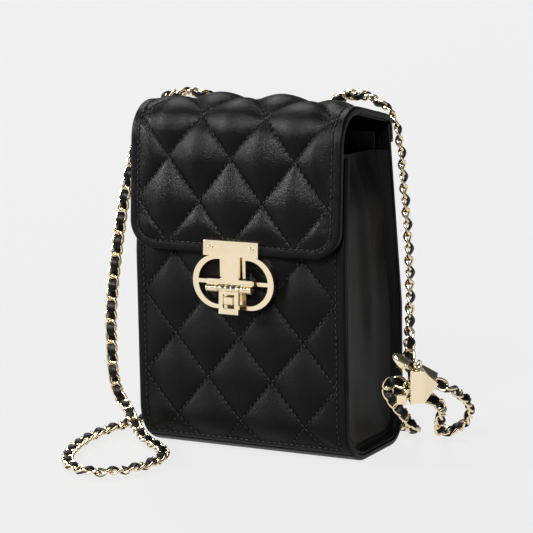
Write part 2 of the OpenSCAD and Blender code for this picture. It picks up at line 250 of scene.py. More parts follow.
def makeSeams():
    # the sewn lines of a quilted panel, from its flat pattern: Vector holds x, length up the panel and
    # distance from its rim in millimetres. Groove marks the seams and the border line; leather() uses it for
    # roughness and for painted shade in the grooves
    values = {"Wide": 35.0, "High": 41.0, "Cross X": 0.0, "Cross Up": 0.0, "Border": 4.6, "Apart": 26.7}
    group, enter, leave = newGroup("quiltSeams", values, ("Height", "Groove"))
    parts = addNode(group, "ShaderNodeSeparateXYZ")
    link(group, enter.outputs["Vector"], parts.inputs[0])
    p, q = [math2(group, "DIVIDE", minus(group, parts.outputs[axis], enter.outputs[cross]),
                  enter.outputs[size])
            for axis, cross, size in (("X", "Cross X", "Wide"), ("Y", "Cross Up", "High"))]
    u, v = plus(group, p, q), minus(group, p, q)
    near = [times(group, math2(group, "PINGPONG", w, 0.5), enter.outputs["Apart"]) for w in (u, v)]
    gap = math2(group, "MINIMUM", near[0], near[1])
    along = [times(group, w, enter.outputs["Apart"]) for w in (v, u)]
    first = math2(group, "LESS_THAN", near[0], near[1])
    run = plus(group, times(group, along[0], first), times(group, along[1], minus(group, 1.0, first)))
    inward = minus(group, parts.outputs["Z"], enter.outputs["Border"])
    within = ramp(group, inward, -0.2, 0.2)
    seam = times(group, ramp(group, gap, 0.62, 0.15), within)
    rim = math2(group, "ABSOLUTE", inward)
    groove = math2(group, "MAXIMUM", seam, ramp(group, rim, 0.6, 0.15))
    # needle holes between the stitches, and small gathers beside them
    wave = math2(group, "COSINE", times(group, minus(group, run, 1.075), 2.027))
    hole = ramp(group, wave, -0.3, -0.7)
    pucker = times(group, times(group, hole, ramp(group, gap, 2.4, 0.4)), within)
    groove = times(group, groove, plus(group, times(group, hole, 0.5), 0.5))
    link(group, minus(group, times(group, pucker, -0.3), groove), leave.inputs["Height"])
    link(group, groove, leave.inputs["Groove"])
    return group

grainGroup, weaveGroup, polishGroup, seamGroup = makeGrain(), makeWeave(), makePolish(), makeSeams()

def startMaterial(name, groupTree, scaleName, scale):
    material = bpy.data.materials.new(name)
    material.use_nodes = True
    tree = material.node_tree
    shader = tree.nodes["Principled BSDF"]
    coords = tree.nodes.new("ShaderNodeTexCoord")
    effect = tree.nodes.new("ShaderNodeGroup")
    effect.node_tree = groupTree
    effect.inputs[scaleName].default_value = scale
    link(tree, coords.outputs["Object"], effect.inputs["Vector"])
    return material, tree, shader, effect

def mixColours(tree, amount, low, high):
    # low and high are colours or sockets
    node = tree.nodes.new("ShaderNodeMix")
    node.data_type = "RGBA"
    for socket, colour in (("A", low), ("B", high)):
        if isinstance(colour, tuple):
            node.inputs[socket].default_value = (*colour, 1)
        else:
            link(tree, colour, node.inputs[socket])
    link(tree, amount, node.inputs["Factor"])
    return node.outputs["Result"]

def leather(name, dark, light, rough, depth, scale, shine=0.1, quilt=None):
    material, tree, shader, grain = startMaterial(name, grainGroup, "Scale", scale)
    tint = mixColours(tree, ramp(tree, grain.outputs["Cloud"], 0.3, 0.7), dark, light)
    tone = mixColours(tree, times(tree, grain.outputs["Pores"], 0.6), tint, tuple(c * 0.4 for c in dark))
    gloss = plus(tree, times(tree, grain.outputs["Cloud"], 0.12), rough - 0.06)
    gloss = plus(tree, gloss, times(tree, grain.outputs["Pores"], 0.12))
    bump = bumped(tree, grain.outputs["Height"], depth, 0.00025, shader.inputs["Normal"])
    if quilt:
        seams = tree.nodes.new("ShaderNodeGroup")
        seams.node_tree = seamGroup
        pattern = addNode(tree, "ShaderNodeAttribute", attribute_name="pattern")
        link(tree, pattern.outputs["Vector"], seams.inputs["Vector"])
        for socket, fact in (("Wide", "wide"), ("High", "high"), ("Cross X", "crossX"),
                             ("Cross Up", "crossUp"), ("Border", "border")):
            seams.inputs[socket].default_value = quilt[fact]
        wide, high = quilt["wide"], quilt["high"]
        seams.inputs["Apart"].default_value = wide * high / math.hypot(wide, high)
        # painted shade: the base colour is darkened along the seam grooves and the border line, most at the
        # needle holes
        tone = mixColours(tree, times(tree, seams.outputs["Groove"], 0.9), tone, (0.0003, 0.0003, 0.0003))
        gloss = plus(tree, gloss, times(tree, seams.outputs["Groove"], 0.4), clamp=True)
        bumped(tree, seams.outputs["Height"], 0.8, 0.0005, bump.inputs["Normal"])
    link(tree, tone, shader.inputs["Base Color"])
    link(tree, gloss, shader.inputs["Roughness"])
    shader.inputs["Specular IOR Level"].default_value = shine
    return material

def plated(name, low, high, rough):
    material, tree, shader, polish = startMaterial(name, polishGroup, "Scale", 900.0)
    link(tree, mixColours(tree, polish.outputs["Tone"], low, high), shader.inputs["Base Color"])
    link(tree, plus(tree, times(tree, polish.outputs["Marks"], 0.1), rough), shader.inputs["Roughness"])
    bumped(tree, polish.outputs["Height"], 0.05, 0.00005, shader.inputs["Normal"])
    shader.inputs["Metallic"].default_value = 1.0
    return material

def woven(name, dark, light, rough, threads, depth, sheen=0.1, shine=0.1):
    material, tree, shader, weave = startMaterial(name, weaveGroup, "Threads", threads)
    thread = weave.outputs["Thread"]
    amount = times(tree, weave.outputs["Height"], thread)
    link(tree, mixColours(tree, amount, dark, light), shader.inputs["Base Color"])
    link(tree, plus(tree, times(tree, thread, 0.15), rough), shader.inputs["Roughness"])
    bumped(tree, weave.outputs["Height"], depth, 0.0002, shader.inputs["Normal"])
    shader.inputs["Sheen Weight"].default_value = sheen
    shader.inputs["Specular IOR Level"].default_value = shine
    return material

bodyQuilt = {"wide": 35.3, "high": 41.2, "crossX": 17.65, "crossUp": 36.5, "puff": 2.4, "border": 4.6,
             "round": 0.68}
flapQuilt = {"wide": 34.6, "high": 42.2, "crossX": -1.2, "crossUp": 3.7, "puff": 3.9, "border": 4.6,
             "round": 0.74}
wallLeather = leather("wallLeather", (0.0004, 0.0004, 0.0005), (0.0011, 0.0011, 0.0012), 0.45, 0.26, 1100.0,
                      0.08, bodyQuilt)
flapLeather = leather("flapLeather", (0.0004, 0.0004, 0.0005), (0.0011, 0.0011, 0.0012), 0.33, 0.3, 1100.0,
                      0.09, flapQuilt)
smoothLeather = leather("smoothLeather", (0.0006, 0.0006, 0.0007), (0.0014, 0.0014, 0.0016), 0.38, 0.14,
                        1500.0)
stripLeather = leather("stripLeather", (0.0012, 0.0012, 0.0013), (0.003, 0.003, 0.0033), 0.32, 0.2, 1500.0,
                       0.12)
threadBlack = woven("threadBlack", (0.0005, 0.0005, 0.0005), (0.003, 0.003, 0.0032), 0.36, 5200.0, 0.4,
                    0.0, 0.3)
liningCloth = woven("liningCloth", (0.003, 0.0028, 0.0028), (0.014, 0.0125, 0.012), 0.7, 1900.0, 0.5)
boardCover = woven("boardCover", (0.003, 0.003, 0.003), (0.01, 0.0095, 0.009), 0.75, 1400.0, 0.4)
lightGold = plated("lightGold", (0.88, 0.74, 0.50), (0.94, 0.81, 0.59), 0.12)
# painted shade: the chain's gold is a darker, more orange copy of lightGold, standing in for the shade
# between the links
shadedChainGold = plated("shadedChainGold", (0.89, 0.70, 0.42), (0.95, 0.79, 0.53), 0.17)
backingSteel = plated("backingSteel", (0.55, 0.55, 0.55), (0.65, 0.65, 0.66), 0.35)
print("materials ready")

# mesh helpers

def shaded(bm, angle):
    for f in bm.faces:
        f.smooth = True
    for e in bm.edges:
        e.smooth = not (len(e.link_faces) == 2 and e.calc_face_angle(0) > math.radians(angle))

def finished(bm, name, material, body, replaces=(), angle=40, turnOut=True):
    # mesh into an object at the origin that rides on its body
    if turnOut:
        bmesh.ops.recalc_face_normals(bm, faces=bm.faces[:])
    shaded(bm, angle)
    piece = placed(name, meshOf(bm, name))
    piece.data.materials.append(material)
    if body:
        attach(piece, body)
    if replaces:
        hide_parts(*replaces)
    return piece

def gridOn(bm, columns, rows, place, pattern=None):
    # a grid laid on a surface: place(column, row) gives each corner in millimetres, and pattern(column, row)
    # its place on the flat piece, kept for the material
    nx, ny = len(columns) - 1, len(rows) - 1
    vectors = bm.verts.layers.float_vector
    if pattern and "pattern" not in vectors:
        vectors.new("pattern")
    made = bmesh.ops.create_grid(bm, x_segments=nx, y_segments=ny, size=0.5)["verts"]
    for v in made:
        i, j = round((v.co.x + 0.5) * nx), round((v.co.y + 0.5) * ny)
        v.co = Vector(place(columns[i], rows[j])) * mm
        if pattern:
            v[vectors["pattern"]] = pattern(columns[i], rows[j])
    return made

def shell(columns, rows, outer, inner, pattern=None):
    # two grids with their rims joined, so that the piece is closed
    bm = bmesh.new()
    gridOn(bm, columns, rows, outer, pattern)
    gridOn(bm, columns, rows, inner, pattern)
    bmesh.ops.bridge_loops(bm, edges=[e for e in bm.edges if e.is_boundary])
    return bm

def spaced(low, high, step, fine=(0, 0.25, 0.5, 0.85, 1.3, 2.0, 2.9)):
    # places from low to high, closer together near both ends
    count = max(2, round((high - low - 2 * fine[-1]) / step))
    start, end = low + fine[-1], high - fine[-1]
    middle = [start + (end - start) * i / count for i in range(1, count)]
    return [low + f for f in fine] + middle + [high - f for f in reversed(fine)]

def smoothLine(points, rounds=0):
    # a line through (y, z) points, in steps of about a millimetre and evened out by the rounds: returns
    # a function of length along it, and the length
    dense = [points[0]]
    for a, b in zip(points, points[1:]):
        n = max(1, round(math.dist(a, b)))
        dense += [(a[0] + (b[0] - a[0]) * k / n, a[1] + (b[1] - a[1]) * k / n) for k in range(1, n + 1)]
    for _ in range(rounds):
        dense = [dense[0]] + [
            tuple((a[k] + 2 * b[k] + c[k]) / 4 for k in (0, 1))
            for a, b, c in zip(dense, dense[1:], dense[2:])] + [dense[-1]]
    along = [0.0]
    for a, b in zip(dense, dense[1:]):
        along.append(along[-1] + math.dist(a, b))
    total = along[-1]

    def at(s):
        s = min(max(s, 0), total)
        low, high = 0, len(along) - 1
        while high - low > 1:
            mid = (low + high) // 2
            low, high = (mid, high) if along[mid] <= s else (low, mid)
        t = (s - along[low]) / max(along[high] - along[low], 1e-9)
        a, b = dense[low], dense[high]
        run = (b[0] - a[0], b[1] - a[1])
        size = math.hypot(*run) or 1
        return (a[0] + run[0] * t, a[1] + run[1] * t, run[0] / size, run[1] / size)
    return at, total

def step01(x):
    x = min(max(x, 0), 1)
    return x * x * (3 - 2 * x)

def ripple(x, y, z, scale):
    return noise.noise(Vector((x, y, z)) * scale)

# strap: a leather strip woven through light gold curb links

strapFacts = {
    "size": 6.4,
    "linkPitch": 5.95,
    "linkLong": 7.3,  # middle line of the wire, end to end
    "linkWide": 5.15,
    "wire": 1.4,
    "twist": 0.95,  # how far a link's corners lift out of its plane
    "stripWide": 3.7,
    "stripBulge": 0.6,
    "stripThick": 1.1,
    "weave": 1.7,  # how far the strip swings to each side
    "length": 1.088,  # metres
    "sides": 8,  # around the strip
    "steps": 1300,  # along the strip
}
sliderPlace = Vector((78, 8, 36))
sliderTurn, sliderTilt, sleevePitch = math.radians(30), math.radians(30), 4.4

def sliderPoint(x, z):
    flat = x * math.cos(sliderTilt) + z * math.sin(sliderTilt)
    return tuple(sliderPlace + Vector((flat * math.cos(sliderTurn), flat * math.sin(sliderTurn),
                 z * math.cos(sliderTilt) - x * math.sin(sliderTilt))))

leftRun = [
    (-16, 27.5, 161), (-20, 29.5, 164.5), (-30, 31, 166), (-42, 31, 168.5), (-54, 29, 172),
    (-62, 24, 172.5), (-66.5, 15, 171), (-70, 5, 164), (-74, 0, 151), (-79, -3.4, 130),
    (-84, -4.2, 105), (-89, -3.5, 78), (-92, -2, 58), (-94, 1, 40), (-95, 4, 25), (-93.5, 6, 15),
    (-88, 2.5, 11), (-80, -7, 10.5), (-70, -17.5, 6.5), (-57, -30, 3.6)]
floorRun = [
    (-43, -41.5, 3.5), (-32, -54, 3.5), (-29, -70, 3.5), (-32.5, -85, 3.5), (-43, -96, 3.5),
    (-58, -94, 3.5), (-70, -82, 3.5), (-78, -65, 3.5), (-83, -46, 3.5), (-84.5, -27, 3.5),
    (-82, -8, 3.5), (-78, 11, 3.5), (-71, 30, 3.5), (-58, 44, 3.5), (-43, 52, 3.5), (-36, 66, 3.5),
    (-32, 84, 3.5), (-22, 100, 3.5), (-6, 105, 3.5), (8, 96, 3.5), (13, 78, 3.5), (22, 62, 3.5),
    (38, 53, 3.5), (54, 44, 3.5)]
sliderRun = [
    (63, 34, 5.5), (66.5, 24, 10), (66, 15, 17.5), (63.5, 7, 26), (62.5, 2.6, 32.5), (65, 1.6, 36.6),
    (68.5, 2.6, 37.1), sliderPoint(-5.6, -sleevePitch), sliderPoint(5.6, -sleevePitch),
    sliderPoint(11.5, -sleevePitch), (86.5, 14.5, 23), (83.5, 20, 17), (79.5, 28, 10.5),
    (76.5, 37, 5), (78, 43.5, 4), (83.5, 46, 7), (89, 42.5, 13.5), (92.5, 34.5, 21.5),
    (92, 23, 29), sliderPoint(11.5, sleevePitch), sliderPoint(5.6, sleevePitch),
    sliderPoint(-5.6, sleevePitch), sliderPoint(-7.5, sleevePitch)]
rightRun = [
    (72, 8.5, 47.8), (69.6, 14, 53.5), (67, 20, 61.5), (65.2, 25, 75), (63.6, 27.8, 94),
    (61.6, 29.6, 114), (59.8, 30, 131), (59, 29.8, 145), (57, 29.5, 157), (52.5, 30.5, 166),
    (43, 31.2, 172), (32, 31.2, 173.6), (23, 30.5, 170.5), (17.5, 28.8, 165), (16, 27.5, 161)]
route = [Vector(p) for p in leftRun + floorRun + sliderRun + rightRun]

# which way the chain's flat face looks along each run: (stop, direction)
faceGuides = [
    (0, (0, 1, 0.3)), (5, (-0.3, 0.6, 1)), (8, (0.1, -1, 0.3)), (11, (0.35, -1, 0)), (14, (0.3, -1, 0.1)),
    (17, (0.2, -0.5, 1)), (20, (0, 0, 1)), (43, (0, 0, 1)), (47, (0.6, -0.8, 0.3)),
    (52, (0.6, -0.9, 0.5)), (57, (-0.2, -0.5, 1)), (62, (-0.5, -1, 0.4)), (66, (0.2, -1, 0.4)),
    (70, (1, 0.1, 0.1)), (74, (1, 0.25, 0)), (77, (0.6, 0.6, 0.6)), (81, (0, 1, 0.3))]

def throughStops(stops, step):
    # Catmull-Rom through every stop, then evenly spaced
    ends = [stops[0] * 2 - stops[1]] + stops + [stops[-1] * 2 - stops[-2]]
    dense, owner = [], []
    for i in range(1, len(ends) - 2):
        a, b, c, d = ends[i - 1:i + 3]
        for k in range(16):
            t = k / 16
            dense.append(0.5 * ((2 * b) + (c - a) * t + (2 * a - 5 * b + 4 * c - d) * t * t
                         + (3 * b - a - 3 * c + d) * t ** 3))
            owner.append(i - 1 + t)
    dense.append(stops[-1].copy())
    owner.append(len(stops) - 1.0)
    along = [0.0]
    for a, b in zip(dense, dense[1:]):
        along.append(along[-1] + (b - a).length)
    count = round(along[-1] / step)
    line, place, j = [], [], 0
    for n in range(count + 1):
        s = along[-1] * n / count
        while j < len(along) - 2 and along[j + 1] < s:
            j += 1
        t = (s - along[j]) / max(along[j + 1] - along[j], 1e-9)
        line.append(dense[j].lerp(dense[j + 1], t))
        place.append(owner[j] + (owner[j + 1] - owner[j]) * t)
    return line, place, along[-1]

strapLine, strapPlace, strapLong = throughStops(route, 0.5)

def guideAt(where):
    for (a, va), (b, vb) in zip(faceGuides, faceGuides[1:]):
        if where <= b:
            return Vector(va).lerp(Vector(vb), step01((where - a) / (b - a)))
    return Vector(faceGuides[-1][1])

strapFrames = []
for i, p in enumerate(strapLine):
    t = (strapLine[min(i + 1, len(strapLine) - 1)] - strapLine[max(i - 1, 0)]).normalized()
    g = guideAt(strapPlace[i])
    strapFrames.append([t, (g - t * g.dot(t)).normalized()])
for _ in range(12):  # even out the twist from stop to stop
    faces = [f[1] for f in strapFrames]
    for i in range(1, len(faces) - 1):
        w = faces[i - 1] + faces[i] * 2 + faces[i + 1]
        t = strapFrames[i][0]
        strapFrames[i][1] = (w - t * w.dot(t)).normalized()

def strapAt(s):
    # middle, direction, face and side of the strap at a length along it
    x = min(max(s / strapLong, 0), 1) * (len(strapLine) - 1)
    i = min(int(x), len(strapLine) - 2)
    t = x - i
    along = strapFrames[i][0].lerp(strapFrames[i + 1][0], t).normalized()
    face = strapFrames[i][1].lerp(strapFrames[i + 1][1], t)
    face = (face - along * face.dot(along)).normalized()
    return strapLine[i].lerp(strapLine[i + 1], t), along, face, along.cross(face)

def closedTube(rings, sides, place, capped=True):
    # a grid rolled into a tube: place(ring, turn) in millimetres, turn from 0 to 1
    bm = bmesh.new()
    gridOn(bm, [k / sides for k in range(sides + 1)], rings, lambda a, b: place(b, a % 1.0))
    bmesh.ops.remove_doubles(bm, verts=bm.verts[:], dist=1e-7)
    if capped:
        bmesh.ops.holes_fill(bm, edges=[e for e in bm.edges if e.is_boundary], sides=0)
    return bm

def stripPoint(s, turn):
    facts = strapFacts
    middle, along, face, side = strapAt(s)
    phase = 2 * math.pi * (s / (2 * facts["linkPitch"]))
    swing = facts["weave"] * math.cos(phase)
    lean = -facts["weave"] * math.sin(phase) * math.pi / facts["linkPitch"]
    tangent = (along + face * lean).normalized()
    up = (face - tangent * face.dot(tangent)).normalized()
    wide = facts["stripWide"] + facts["stripBulge"] * abs(math.cos(phase)) ** 2
    a = 2 * math.pi * turn
    flat = math.copysign(abs(math.cos(a)) ** 0.55, math.cos(a)) * wide / 2
    thick = math.copysign(abs(math.sin(a)) ** 0.8, math.sin(a)) * facts["stripThick"] / 2
    crown = 0.22 * math.copysign(1, swing) * (1 - (2 * flat / wide) ** 2)
    return middle + face * swing + side * flat + up * (thick + crown)

stripSteps = [strapLong * i / strapFacts["steps"] for i in range(strapFacts["steps"] + 1)]
strapStrip = finished(closedTube(stripSteps, strapFacts["sides"], stripPoint), "strapStrip", stripLeather,
                      "bag", ["strap"])

def linkTemplate():
    facts = strapFacts
    def at(u):
        a = 2 * math.pi * u
        c, s = math.cos(a), math.sin(a)
        x = facts["linkLong"] / 2 * math.copysign(abs(c) ** 0.85, c)
        y = facts["linkWide"] / 2 * math.copysign(abs(s) ** 0.85, s)
        return Vector((x, y, facts["twist"] * math.sin(2 * a)))
    def place(u, turn):
        u = u % 1.0
        p, q = at(u), (at(u + 0.01) - at(u - 0.01)).normalized()
        out = Vector((p.x, p.y * 1.6, 0)).normalized()
        out = (out - q * out.dot(q)).normalized()
        high = q.cross(out)
        a = 2 * math.pi * turn
        return p + (out * math.cos(a) + high * math.sin(a)) * facts["wire"] / 2
    return closedTube([k / 14 for k in range(15)], 6, place, capped=False)

linkMesh = meshOf(linkTemplate(), "linkShape")
chain = bmesh.new()
linkCount = int((strapLong - 6) / strapFacts["linkPitch"])
for n in range(linkCount):
    s = strapFacts["linkPitch"] * (n + 0.5) + 1.0
    middle, along, face, side = strapAt(s)
    before = len(chain.verts)
    chain.from_mesh(linkMesh)
    chain.verts.ensure_lookup_table()
    turn = Matrix((along, side, face)).transposed().to_4x4()
    turn.translation = middle * mm
    bmesh.ops.transform(chain, matrix=turn, verts=chain.verts[before:])
strapLinks = finished(chain, "strapLinks", shadedChainGold, "bag", angle=70)
bpy.data.meshes.remove(linkMesh)
print(f"strap ready: {strapLong:.0f} mm, {linkCount} links")

path = [tuple(p * mm) for p in strapLine[::4]]
if len(strapLine) % 4 != 1:
    path.append(tuple(strapLine[-1] * mm))

# quilted leather

bodyShape = {
    "half": 57.5, "frontY": -33, "backY": 33, "panel": 2.6,
    "frontRadius": 22, "backRadius": 14, "frontBend": 100, "backBend": 70,
    "frontLean": 6, "backLean": 13, "leanTop": 162, "frontTop": 150, "backTop": 161.5, "seam": 5.2,
    "cell": 0.72,
}
half = bodyShape["half"]

def frontWall(z, inset=0):
    r = bodyShape["frontRadius"]
    if z < r:
        return bodyShape["frontY"] + r - math.sqrt(max((r - inset) ** 2 - (r - z) ** 2, 0))
    lean = bodyShape["frontLean"] * max(z - bodyShape["frontBend"], 0)
    return bodyShape["frontY"] + inset + lean / (bodyShape["leanTop"] - bodyShape["frontBend"])

def backWall(z, inset=0):
    r = bodyShape["backRadius"]
    if z < r:
        return bodyShape["backY"] - r + math.sqrt(max((r - inset) ** 2 - (r - z) ** 2, 0))
    lean = bodyShape["backLean"] * max(z - bodyShape["backBend"], 0)
    return bodyShape["backY"] - inset - lean / (bodyShape["leanTop"] - bodyShape["backBend"])

def upTheWall(wall, low, high):
    return smoothLine([(wall(low + (high - low) * k / 400), low + (high - low) * k / 400)
                       for k in range(401)], 24)

frontLine, frontLong = upTheWall(frontWall, bodyShape["seam"], bodyShape["frontTop"])
backLine, backLong = upTheWall(backWall, bodyShape["seam"], bodyShape["backTop"])

stitchFacts = {"pitch": 3.1, "long": 2.15, "wide": 0.62, "high": 0.5}

def rollOff(d, r=1.1):
    # how far the surface drops towards a rounded rim
    return 0 if d >= r else math.sqrt(max(r * r - (r - d) ** 2, 0)) - r

# the clasp ring holds the front's padding down to this height behind it
ringPress = {"up": 85.4, "halfWide": 24, "halfHigh": 15, "full": 0.8, "fade": 0.45, "height": 2.2}

def pressed(x, s):
    away = math.hypot(x / ringPress["halfWide"], (s - ringPress["up"]) / ringPress["halfHigh"])
    return step01((away - ringPress["full"]) / ringPress["fade"])

padding = {"slope": 14, "slopeCurve": 0.62, "uneven": 0.18, "crumple": 0.3, "rimRidge": 0.28}

def quiltHeight(quilt, x, s, edge, seed):
    # height of the padding over its seams; edge is the distance from the panel's rim
    u = (x - quilt["crossX"]) / quilt["wide"] + (s - quilt["crossUp"]) / quilt["high"]
    v = (x - quilt["crossX"]) / quilt["wide"] - (s - quilt["crossUp"]) / quilt["high"]
    a, b = abs(math.sin(math.pi * u)), abs(math.sin(math.pi * v))
    inside = edge - quilt["border"]
    full = quilt["puff"] * (1 + padding["uneven"] * ripple(x, s, seed, 0.03))
    if inside > 0:
        rise = step01(inside / padding["slope"]) ** padding["slopeCurve"]
        soft = padding["crumple"] * ripple(x, s, seed + 40, 0.09) * min(a, b) * rise
        return full * (a * b) ** quilt["round"] * rise + soft
    ridge = padding["rimRidge"] * math.sin(math.pi * min(max(-inside / quilt["border"], 0), 1)) ** 0.8
    return ridge + 0.06 * ripple(x, s, seed + 9, 0.3)

def panelEdge(x, s, long):
    return min(half - abs(x), s, long - s)

def wallPlace(line, long, outward, quilt, seed):
    # outer and inner surface of a quilted wall; outward is 1 for the front and -1 for the back
    def at(x, s, lift):
        y, z, ty, tz = line(s)
        return (x, y - tz * outward * lift, z + ty * outward * lift)
    def outer(x, s):
        edge = panelEdge(x, s, long)
        height = quiltHeight(quilt, x, s, edge, seed)
        if outward > 0:
            flat = ringPress["height"]
            height = min(height, flat) + max(height - flat, 0) * pressed(x, s)
        return at(x, s, height + rollOff(edge))
    def inner(x, s):
        return at(x, s, -bodyShape["panel"])
    return at, outer, inner

def seamDashes(quilt, low, high, long, allowed, step):
    # pairs of (x, s) for each stitch along every seam of a quilted panel
    reach = int((abs(low) + abs(high)) / quilt["wide"] + 2 * long / quilt["high"]) + 3
    span = math.hypot(quilt["wide"], quilt["high"]) / 2
    for way in (1, -1):
        for c in range(-reach, reach + 1):
            for k in range(int(-reach * span / step), int(reach * span / step) + 1):
                ends = []
                for t in (k * step, k * step + stitchFacts["long"]):
                    w = t / span
                    u, v = (c, w) if way == 1 else (w, c)
                    ends.append((quilt["crossX"] + quilt["wide"] * (u + v) / 2,
                                 quilt["crossUp"] + quilt["high"] * (u - v) / 2))
                if all(allowed(*p) for p in ends):
                    yield ends

def stitchShape():
    bm = bmesh.new()
    bmesh.ops.create_uvsphere(bm, u_segments=6, v_segments=4, radius=1)
    return meshOf(bm, "stitchShape")

stitchMesh = stitchShape()

def addShape(bm, shape, turn):
    before = len(bm.verts)
    bm.from_mesh(shape)
    bm.verts.ensure_lookup_table()
    for i in range(before, len(bm.verts)):
        bm.verts[i].co = turn @ bm.verts[i].co

def addStitch(bm, a, b, up):
    along = b - a
    size = along.length
    along.normalize()
    up = (up - along * up.dot(along)).normalized()
    side = up.cross(along)
    turn = Matrix((along * size / 2, side * stitchFacts["wide"] / 2,
                   up * stitchFacts["high"] / 2)).transposed().to_4x4()
    turn.translation = (a + b) / 2
    addShape(bm, stitchMesh, Matrix.Scale(mm, 4) @ turn)

def stitchOn(bm, at, pairs, lift=0.45):
    for (xa, sa), (xb, sb) in pairs:
        a, b = Vector(at(xa, sa, lift)), Vector(at(xb, sb, lift))
        addStitch(bm, a, b, Vector(at(xa, sa, lift + 1)) - a)

def straightDashes(start, end):
    long = math.dist(start, end)
    count = int(long / stitchFacts["pitch"])
    for k in range(count):
        pair = []
        for t in (k * stitchFacts["pitch"], k * stitchFacts["pitch"] + stitchFacts["long"]):
            t /= long
            pair.append((start[0] + (end[0] - start[0]) * t, start[1] + (end[1] - start[1]) * t))
        yield pair

def quiltedWall(name, node, line, long, outward, seed):
    at, outer, inner = wallPlace(line, long, outward, bodyQuilt, seed)
    columns, rows = spaced(-half, half, bodyShape["cell"]), spaced(0, long, bodyShape["cell"])
    wall = finished(shell(columns, rows, outer, inner, lambda x, s: (x, s, panelEdge(x, s, long))), name,
                    wallLeather, "bag", [node])
    threads = bmesh.new()
    inset = bodyQuilt["border"] + 0.6
    stitchOn(threads, at, seamDashes(bodyQuilt, -half, half, long,
             lambda x, s: panelEdge(x, s, long) > inset, stitchFacts["pitch"]))
    b = bodyQuilt["border"]
    for side in (-1, 1):
        stitchOn(threads, at, straightDashes((side * (half - b), b), (side * (half - b), long - b)))
    stitchOn(threads, at, straightDashes((-half + b, b), (half - b, b)))
    finished(threads, name + "Stitches", threadBlack, "bag", turnOut=False)
    return wall

frontPanel = quiltedWall("frontPanel", "front_panel", frontLine, frontLong, 1, 1.5)
backPanel = quiltedWall("backPanel", "back_panel", backLine, backLong, -1, 8.5)
print("quilted walls ready")

# flap: front drop, bend over the top, and a tab sewn to the back

flapFacts = {
    "bendY": -17, "bendZ": 155.5, "radius": 18, "topSlope": 12, "frontSlope": 4,
    "top": 33, "drop": 54.5, "thick": 2.9, "corner": 14,
    "tab": [(20.8, 165.6), (22.2, 164.4), (23.0, 162.6), (23.3, 160), (23.7, 156), (24.0, 152.5)],
    "crown": 1.3, "crownFrom": 60, "flatEnd": 8, "stitchEnd": 9, "cell": 0.72,
}

def flapSide():
    facts = flapFacts
    points = []
    front, top = math.radians(90 - facts["frontSlope"]), math.radians(-facts["topSlope"])
    def turned(x, y, a):
        return (facts["bendY"] + x * math.cos(a) - y * math.sin(a),
                facts["bendZ"] + x * math.sin(a) + y * math.cos(a))
    r = facts["radius"]
    points += [turned(-facts["drop"] * (1 - k / 10), r, front) for k in range(10)]
    points += [turned(0, r, front + (top - front) * k / 24) for k in range(25)]
    points += [turned(facts["top"] * k / 8, r, top) for k in range(1, 9)]
    return smoothLine(points + facts["tab"], 4)

flapLine, flapLong = flapSide()

def flapEdge(x, s):
    r = flapFacts["corner"]
    x = abs(x)
    if x > half - r and s < r:
        return r - math.hypot(x - (half - r), r - s)
    return min(half - x, s)

def flapHalf(s):
    r = flapFacts["corner"]
    return half if s >= r else half - r + math.sqrt(max(r * r - (r - s) ** 2, 0))

def onFlap(x, s, lift):
    y, z, ty, tz = flapLine(s)
    return (x, y - tz * lift, z + ty * lift)

def flapCrown(x, s):
    # the top swells towards its middle
    rise = step01((s - flapFacts["crownFrom"]) / 25) * step01((flapLong - s) / 40)
    return flapFacts["crown"] * rise * math.cos(math.pi * x / (2 * half))

def flapOuter(c, s):
    x = c * flapHalf(s)
    edge = min(flapEdge(x, s), flapLong - s)
    fade = step01((flapLong - flapFacts["flatEnd"] - s) / 14)
    height = quiltHeight(flapQuilt, x, s, edge, 20.5)
    return onFlap(x, s, height * fade + flapCrown(x, s) + rollOff(edge))

def flapInner(c, s):
    return onFlap(c * flapHalf(s), s, -flapFacts["thick"])

def flapPattern(c, s):
    x = c * flapHalf(s)
    return (x, s, flapEdge(x, s) if s < flapLong - flapFacts["flatEnd"] else 2)

flapColumns = [c / half for c in spaced(-half, half, flapFacts["cell"])]
flapRows = [0, 0.06] + spaced(0, flapLong, flapFacts["cell"])[1:]
flapSkin = finished(shell(flapColumns, flapRows, flapOuter, flapInner, flapPattern), "flapSkin", flapLeather,
                    None, ["flap_outer"])
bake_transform(flapSkin)

def flapThreads():
    bm = bmesh.new()
    b = flapQuilt["border"]
    top = flapLong - flapFacts["stitchEnd"]
    pairs = seamDashes(flapQuilt, -half, half, flapLong,
                       lambda x, s: flapEdge(x, s) > b + 0.6 and s < top, stitchFacts["pitch"])
    stitchOn(bm, lambda x, s, lift: onFlap(x, s, lift + flapCrown(x, s)), pairs)
    r = flapFacts["corner"] - b
    run = [(-half + b, top), (-half + b, flapFacts["corner"])]
    run += [(-half + flapFacts["corner"] - r * math.cos(a), flapFacts["corner"] - r * math.sin(a))
            for a in (math.pi / 2 * k / 8 for k in range(1, 9))]
    run += [(-x, s) for x, s in reversed(run)]
    for start, end in zip(run, run[1:]):
        stitchOn(bm, onFlap, straightDashes(start, end) if math.dist(start, end) > stitchFacts["pitch"]
                 else [(start, end)])
    stitchOn(bm, onFlap, straightDashes((-half + 5, flapLong - 4), (half - 5, flapLong - 4)), 0.55)
    return bm

flapStitches = finished(flapThreads(), "flapStitches", threadBlack, None, turnOut=False)
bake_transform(flapStitches)

def liningPlace(lift):
    def at(c, s):
        x = c * (flapHalf(s + 0.6) - 0.9)
        return onFlap(x, s + 0.6, lift + 0.12 * ripple(x, s, 3.3, 0.12))
    return at

flapUnder = finished(shell([c / half for c in spaced(-half, half, 2.4)],
                           spaced(0, flapLong - 16, 2.4), liningPlace(-3.0), liningPlace(-3.8)),
                     "flapUnder", smoothLeather, None, ["flap_lining"])
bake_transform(flapUnder)
print("flap ready")

# gussets, base and lining

